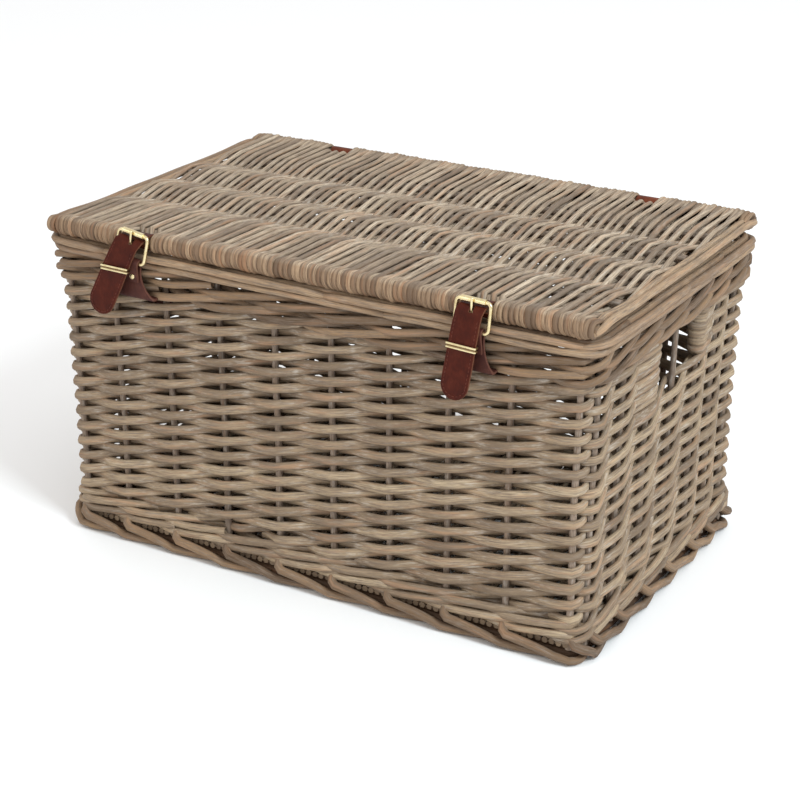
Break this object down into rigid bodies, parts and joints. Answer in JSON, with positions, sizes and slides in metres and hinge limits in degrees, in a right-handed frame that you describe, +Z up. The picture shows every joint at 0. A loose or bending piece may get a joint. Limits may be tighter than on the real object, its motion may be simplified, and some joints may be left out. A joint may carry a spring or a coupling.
{
  "type": "wicker storage trunk",
  "caption": "Oblong woven willow trunk with a stick-and-wrap lid on leather hinge loops, leather straps with brass roller buckles in front, and an open hand-hole in each end",
  "frame": {"origin": "centre of the foot, on the floor", "axes": "+X along the front from left to right as seen from the front, +Y from the front to the back, +Z up"},
  "size_m": [0.5, 0.3297, 0.2855],
  "materials": {
    "willow": "matte, grey-brown with a thin lime wash in the crevices",
    "stake_willow": "matte, grey",
    "tan_willow": "matte, tan",
    "strap_leather": "smooth, dark red-brown, light sheen",
    "hinge_leather": "smooth, orange-brown",
    "brass": "polished, pale gold"
  },
  "bodies": {
    "basket": {"base_sticks": "willow", "base_weave": "willow", "foot_border": "willow", "bottom_wale": "willow", "front_stakes": "stake_willow", "back_stakes": "stake_willow", "left_stakes": "stake_willow", "right_stakes": "stake_willow", "corner_posts": "stake_willow", "front_weave": "willow", "back_weave": "willow", "left_weave": "willow", "right_weave": "willow", "top_wale": "tan_willow", "top_border": "tan_willow", "left_hinge_loop": "hinge_leather", "right_hinge_loop": "hinge_leather", "hinge_rivets": "brass", "left_body_strap": "strap_leather", "right_body_strap": "strap_leather", "body_strap_rivets": "brass"},
    "lid": {"lid_front_stick": "tan_willow", "lid_back_stick": "tan_willow", "lid_inner_sticks": "stake_willow", "lid_weave": "willow", "lid_left_end_rods": "tan_willow", "lid_right_end_rods": "tan_willow"},
    "left_lid_strap": {"left_lid_strap": "strap_leather"},
    "left_buckle": {"left_buckle_frame": "brass"},
    "left_roller": {"left_buckle_roller": "brass"},
    "left_prong": {"left_buckle_prong": "brass"},
    "left_keeper": {"left_keeper": "brass"},
    "right_lid_strap": {"right_lid_strap": "strap_leather"},
    "right_buckle": {"right_buckle_frame": "brass"},
    "right_roller": {"right_buckle_roller": "brass"},
    "right_prong": {"right_buckle_prong": "brass"},
    "right_keeper": {"right_keeper": "brass"}
  },
  "joints": [
    {"name": "lid_hinge", "type": "hinge", "parent": "basket", "child": "lid", "pos_m": [0, 0.1485, 0.273], "axis": [-1, 0, 0], "range_deg": [0, 110], "deforming": ["left_lid_strap", "right_lid_strap"]},
    {"name": "left_strap_swing", "type": "hinge", "parent": "lid", "child": "left_lid_strap", "pos_m": [-0.153, -0.1485, 0.273], "axis": [-1, 0, 0], "range_deg": [0, 80], "deforming": ["left_lid_strap"]},
    {"name": "left_buckle_swing", "type": "hinge", "parent": "basket", "child": "left_buckle", "pos_m": [-0.15654, -0.161, 0.25928], "axis": [0.9877, 0, -0.1564], "range_deg": [0, 70]},
    {"name": "left_prong_swing", "type": "hinge", "parent": "left_buckle", "child": "left_prong", "pos_m": [-0.15654, -0.161, 0.25928], "axis": [0.9877, 0, -0.1564], "range_deg": [0, 30]},
    {"name": "left_roller_spin", "type": "hinge", "parent": "left_buckle", "child": "left_roller", "pos_m": [-0.153, -0.158, 0.2816], "axis": [0.9877, 0, -0.1564], "continuous": true},
    {"name": "left_keeper_slide", "type": "slide", "parent": "basket", "child": "left_keeper", "axis": [0.1564, 0, 0.9877], "range_m": [-0.002, 0.002]},
    {"name": "right_strap_swing", "type": "hinge", "parent": "lid", "child": "right_lid_strap", "pos_m": [0.153, -0.1485, 0.273], "axis": [-1, 0, 0], "range_deg": [0, 80], "deforming": ["right_lid_strap"]},
    {"name": "right_buckle_swing", "type": "hinge", "parent": "basket", "child": "right_buckle", "pos_m": [0.15221, -0.161, 0.25901], "axis": [0.9994, 0, -0.0349], "range_deg": [0, 70]},
    {"name": "right_prong_swing", "type": "hinge", "parent": "right_buckle", "child": "right_prong", "pos_m": [0.15221, -0.161, 0.25901], "axis": [0.9994, 0, -0.0349], "range_deg": [0, 30]},
    {"name": "right_roller_spin", "type": "hinge", "parent": "right_buckle", "child": "right_roller", "pos_m": [0.153, -0.158, 0.2816], "axis": [0.9994, 0, -0.0349], "continuous": true},
    {"name": "right_keeper_slide", "type": "slide", "parent": "basket", "child": "right_keeper", "axis": [0.0349, 0, 0.9994], "range_m": [-0.002, 0.002]}
  ]
}
